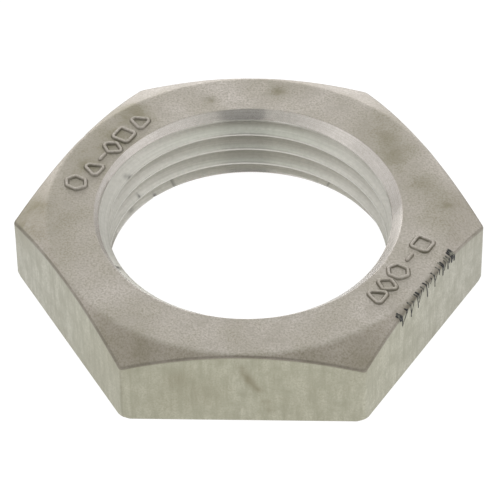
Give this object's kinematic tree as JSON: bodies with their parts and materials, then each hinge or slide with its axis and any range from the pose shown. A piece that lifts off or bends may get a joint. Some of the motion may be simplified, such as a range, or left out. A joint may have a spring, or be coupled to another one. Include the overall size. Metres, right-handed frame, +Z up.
{
  "type": "locknut",
  "caption": "Low hexagon locknut with a threaded through bore, countersunk at both ends, that clamps a threaded pipe or conduit end to a wall or box.",
  "frame": {"origin": "centre of the underside, on the bore's axis", "axes": "+Z up along the bore, towards the face with the wide chamfer; +X towards a corner of the hexagon; +Y towards the middle of a flat"},
  "size_m": [0.053, 0.046, 0.01],
  "materials": {
    "stainless": "blasted stainless casting with machined thread"
  },
  "bodies": {
    "root": {"locknut": "stainless"}
  },
  "joints": []
}
